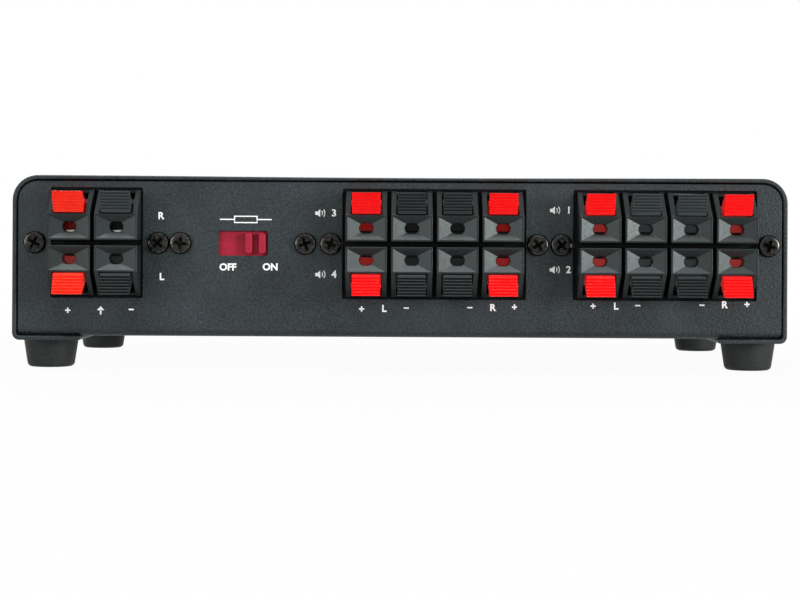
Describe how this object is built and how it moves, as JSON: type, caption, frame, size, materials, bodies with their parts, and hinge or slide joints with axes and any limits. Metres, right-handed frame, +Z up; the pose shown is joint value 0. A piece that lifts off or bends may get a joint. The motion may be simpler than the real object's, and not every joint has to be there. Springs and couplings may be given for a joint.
{
  "type": "speaker selector switch",
  "caption": "Speaker selector in a steel case: spring-clip terminals and a protection slide switch behind, a push button for each speaker zone in front.",
  "frame": {"origin": "on the ground under the middle of the whole box, the four feet standing on z = 0", "axes": "+X to the right as one faces the terminal panel, -Y out of the terminal panel, +Y out of the button panel, +Z up"},
  "size_m": [0.21, 0.147, 0.0527],
  "materials": {
    "powder_coated_steel": "fine-textured charcoal powder coat",
    "foot_rubber": "matte moulded rubber",
    "black_screw_steel": "black oxide",
    "black_terminal_plastic": "satin moulded",
    "tinned_bronze": "tinned spring bronze",
    "red_lever_plastic": "semi-gloss moulded",
    "black_lever_plastic": "satin moulded",
    "zinc_plated_steel": "bright zinc",
    "switch_body_plastic": "moulded",
    "crimson_slider_plastic": "satin moulded",
    "circuit_board": "paper-phenolic board",
    "white_nylon": "moulded",
    "resistor_ceramic": "unglazed cement",
    "button_plastic": "satin moulded"
  },
  "bodies": {
    "casing": {"wrap_cover": "powder_coated_steel", "chassis": "powder_coated_steel", "rear_left_foot": "foot_rubber", "rear_right_foot": "foot_rubber", "front_left_foot": "foot_rubber", "front_right_foot": "foot_rubber", "terminal_screws": "black_screw_steel", "switch_screws": "black_screw_steel", "foot_screws": "black_screw_steel", "input_terminal_base": "black_terminal_plastic", "input_terminal_cells": "black_terminal_plastic", "input_contacts": "tinned_bronze", "zone_34_terminal_base": "black_terminal_plastic", "zone_34_terminal_cells": "black_terminal_plastic", "zone_34_contacts": "tinned_bronze", "zone_12_terminal_base": "black_terminal_plastic", "zone_12_terminal_cells": "black_terminal_plastic", "zone_12_contacts": "tinned_bronze", "protection_switch_frame": "zinc_plated_steel", "protection_switch_body": "switch_body_plastic", "switch_board": "circuit_board", "protection_resistors": "resistor_ceramic", "board_supports": "white_nylon", "zone_1_switch": "switch_body_plastic", "zone_2_switch": "switch_body_plastic", "zone_3_switch": "switch_body_plastic", "zone_4_switch": "switch_body_plastic"},
    "input_right_plus_lever": {"input_right_plus_lever": "red_lever_plastic"},
    "input_right_minus_lever": {"input_right_minus_lever": "black_lever_plastic"},
    "input_left_plus_lever": {"input_left_plus_lever": "red_lever_plastic"},
    "input_left_minus_lever": {"input_left_minus_lever": "black_lever_plastic"},
    "zone_3_left_plus_lever": {"zone_3_left_plus_lever": "red_lever_plastic"},
    "zone_3_left_minus_lever": {"zone_3_left_minus_lever": "black_lever_plastic"},
    "zone_3_right_minus_lever": {"zone_3_right_minus_lever": "black_lever_plastic"},
    "zone_3_right_plus_lever": {"zone_3_right_plus_lever": "red_lever_plastic"},
    "zone_4_left_plus_lever": {"zone_4_left_plus_lever": "red_lever_plastic"},
    "zone_4_left_minus_lever": {"zone_4_left_minus_lever": "black_lever_plastic"},
    "zone_4_right_minus_lever": {"zone_4_right_minus_lever": "black_lever_plastic"},
    "zone_4_right_plus_lever": {"zone_4_right_plus_lever": "red_lever_plastic"},
    "zone_1_left_plus_lever": {"zone_1_left_plus_lever": "red_lever_plastic"},
    "zone_1_left_minus_lever": {"zone_1_left_minus_lever": "black_lever_plastic"},
    "zone_1_right_minus_lever": {"zone_1_right_minus_lever": "black_lever_plastic"},
    "zone_1_right_plus_lever": {"zone_1_right_plus_lever": "red_lever_plastic"},
    "zone_2_left_plus_lever": {"zone_2_left_plus_lever": "red_lever_plastic"},
    "zone_2_left_minus_lever": {"zone_2_left_minus_lever": "black_lever_plastic"},
    "zone_2_right_minus_lever": {"zone_2_right_minus_lever": "black_lever_plastic"},
    "zone_2_right_plus_lever": {"zone_2_right_plus_lever": "red_lever_plastic"},
    "protection_slider": {"protection_switch_slider": "crimson_slider_plastic"},
    "zone_1_button": {"zone_1_button": "button_plastic", "zone_1_plunger": "white_nylon"},
    "zone_2_button": {"zone_2_button": "button_plastic", "zone_2_plunger": "white_nylon"},
    "zone_3_button": {"zone_3_button": "button_plastic", "zone_3_plunger": "white_nylon"},
    "zone_4_button": {"zone_4_button": "button_plastic", "zone_4_plunger": "white_nylon"}
  },
  "joints": [
    {"name": "input_right_plus_press", "type": "hinge", "parent": "casing", "child": "input_right_plus_lever", "pos_m": [-0.08847, -0.0562, 0.04395], "axis": [-1, 0, 0], "range_deg": [0, 12], "stiffness_Nm_per_rad": 0.05, "springref_deg": -5.73},
    {"name": "input_right_minus_press", "type": "hinge", "parent": "casing", "child": "input_right_minus_lever", "pos_m": [-0.07587, -0.0562, 0.04395], "axis": [-1, 0, 0], "range_deg": [0, 12], "stiffness_Nm_per_rad": 0.05, "springref_deg": -5.73},
    {"name": "input_left_plus_press", "type": "hinge", "parent": "casing", "child": "input_left_plus_lever", "pos_m": [-0.08847, -0.0562, 0.02505], "axis": [1, 0, 0], "range_deg": [0, 12], "stiffness_Nm_per_rad": 0.05, "springref_deg": -5.73},
    {"name": "input_left_minus_press", "type": "hinge", "parent": "casing", "child": "input_left_minus_lever", "pos_m": [-0.07587, -0.0562, 0.02505], "axis": [1, 0, 0], "range_deg": [0, 12], "stiffness_Nm_per_rad": 0.05, "springref_deg": -5.73},
    {"name": "zone_3_left_plus_press", "type": "hinge", "parent": "casing", "child": "zone_3_left_plus_lever", "pos_m": [-0.00903, -0.0562, 0.04395], "axis": [-1, 0, 0], "range_deg": [0, 12], "stiffness_Nm_per_rad": 0.05, "springref_deg": -5.73},
    {"name": "zone_3_left_minus_press", "type": "hinge", "parent": "casing", "child": "zone_3_left_minus_lever", "pos_m": [0.00317, -0.0562, 0.04395], "axis": [-1, 0, 0], "range_deg": [0, 12], "stiffness_Nm_per_rad": 0.05, "springref_deg": -5.73},
    {"name": "zone_3_right_minus_press", "type": "hinge", "parent": "casing", "child": "zone_3_right_minus_lever", "pos_m": [0.01537, -0.0562, 0.04395], "axis": [-1, 0, 0], "range_deg": [0, 12], "stiffness_Nm_per_rad": 0.05, "springref_deg": -5.73},
    {"name": "zone_3_right_plus_press", "type": "hinge", "parent": "casing", "child": "zone_3_right_plus_lever", "pos_m": [0.02757, -0.0562, 0.04395], "axis": [-1, 0, 0], "range_deg": [0, 12], "stiffness_Nm_per_rad": 0.05, "springref_deg": -5.73},
    {"name": "zone_4_left_plus_press", "type": "hinge", "parent": "casing", "child": "zone_4_left_plus_lever", "pos_m": [-0.00903, -0.0562, 0.02505], "axis": [1, 0, 0], "range_deg": [0, 12], "stiffness_Nm_per_rad": 0.05, "springref_deg": -5.73},
    {"name": "zone_4_left_minus_press", "type": "hinge", "parent": "casing", "child": "zone_4_left_minus_lever", "pos_m": [0.00317, -0.0562, 0.02505], "axis": [1, 0, 0], "range_deg": [0, 12], "stiffness_Nm_per_rad": 0.05, "springref_deg": -5.73},
    {"name": "zone_4_right_minus_press", "type": "hinge", "parent": "casing", "child": "zone_4_right_minus_lever", "pos_m": [0.01537, -0.0562, 0.02505], "axis": [1, 0, 0], "range_deg": [0, 12], "stiffness_Nm_per_rad": 0.05, "springref_deg": -5.73},
    {"name": "zone_4_right_plus_press", "type": "hinge", "parent": "casing", "child": "zone_4_right_plus_lever", "pos_m": [0.02757, -0.0562, 0.02505], "axis": [1, 0, 0], "range_deg": [0, 12], "stiffness_Nm_per_rad": 0.05, "springref_deg": -5.73},
    {"name": "zone_1_left_plus_press", "type": "hinge", "parent": "casing", "child": "zone_1_left_plus_lever", "pos_m": [0.05348, -0.0562, 0.04395], "axis": [-1, 0, 0], "range_deg": [0, 12], "stiffness_Nm_per_rad": 0.05, "springref_deg": -5.73},
    {"name": "zone_1_left_minus_press", "type": "hinge", "parent": "casing", "child": "zone_1_left_minus_lever", "pos_m": [0.06567, -0.0562, 0.04395], "axis": [-1, 0, 0], "range_deg": [0, 12], "stiffness_Nm_per_rad": 0.05, "springref_deg": -5.73},
    {"name": "zone_1_right_minus_press", "type": "hinge", "parent": "casing", "child": "zone_1_right_minus_lever", "pos_m": [0.07787, -0.0562, 0.04395], "axis": [-1, 0, 0], "range_deg": [0, 12], "stiffness_Nm_per_rad": 0.05, "springref_deg": -5.73},
    {"name": "zone_1_right_plus_press", "type": "hinge", "parent": "casing", "child": "zone_1_right_plus_lever", "pos_m": [0.09008, -0.0562, 0.04395], "axis": [-1, 0, 0], "range_deg": [0, 12], "stiffness_Nm_per_rad": 0.05, "springref_deg": -5.73},
    {"name": "zone_2_left_plus_press", "type": "hinge", "parent": "casing", "child": "zone_2_left_plus_lever", "pos_m": [0.05348, -0.0562, 0.02505], "axis": [1, 0, 0], "range_deg": [0, 12], "stiffness_Nm_per_rad": 0.05, "springref_deg": -5.73},
    {"name": "zone_2_left_minus_press", "type": "hinge", "parent": "casing", "child": "zone_2_left_minus_lever", "pos_m": [0.06567, -0.0562, 0.02505], "axis": [1, 0, 0], "range_deg": [0, 12], "stiffness_Nm_per_rad": 0.05, "springref_deg": -5.73},
    {"name": "zone_2_right_minus_press", "type": "hinge", "parent": "casing", "child": "zone_2_right_minus_lever", "pos_m": [0.07787, -0.0562, 0.02505], "axis": [1, 0, 0], "range_deg": [0, 12], "stiffness_Nm_per_rad": 0.05, "springref_deg": -5.73},
    {"name": "zone_2_right_plus_press", "type": "hinge", "parent": "casing", "child": "zone_2_right_plus_lever", "pos_m": [0.09008, -0.0562, 0.02505], "axis": [1, 0, 0], "range_deg": [0, 12], "stiffness_Nm_per_rad": 0.05, "springref_deg": -5.73},
    {"name": "protection_slide", "type": "slide", "parent": "casing", "child": "protection_slider", "axis": [1, 0, 0], "range_m": [-0.0068, 0]},
    {"name": "zone_1_push", "type": "slide", "parent": "casing", "child": "zone_1_button", "axis": [0, -1, 0], "range_m": [0, 0.0035], "stiffness_N_per_m": 300, "springref_m": -0.002},
    {"name": "zone_2_push", "type": "slide", "parent": "casing", "child": "zone_2_button", "axis": [0, -1, 0], "range_m": [0, 0.0035], "stiffness_N_per_m": 300, "springref_m": -0.002},
    {"name": "zone_3_push", "type": "slide", "parent": "casing", "child": "zone_3_button", "axis": [0, -1, 0], "range_m": [0, 0.0035], "stiffness_N_per_m": 300, "springref_m": -0.002},
    {"name": "zone_4_push", "type": "slide", "parent": "casing", "child": "zone_4_button", "axis": [0, -1, 0], "range_m": [0, 0.0035], "stiffness_N_per_m": 300, "springref_m": -0.002}
  ]
}
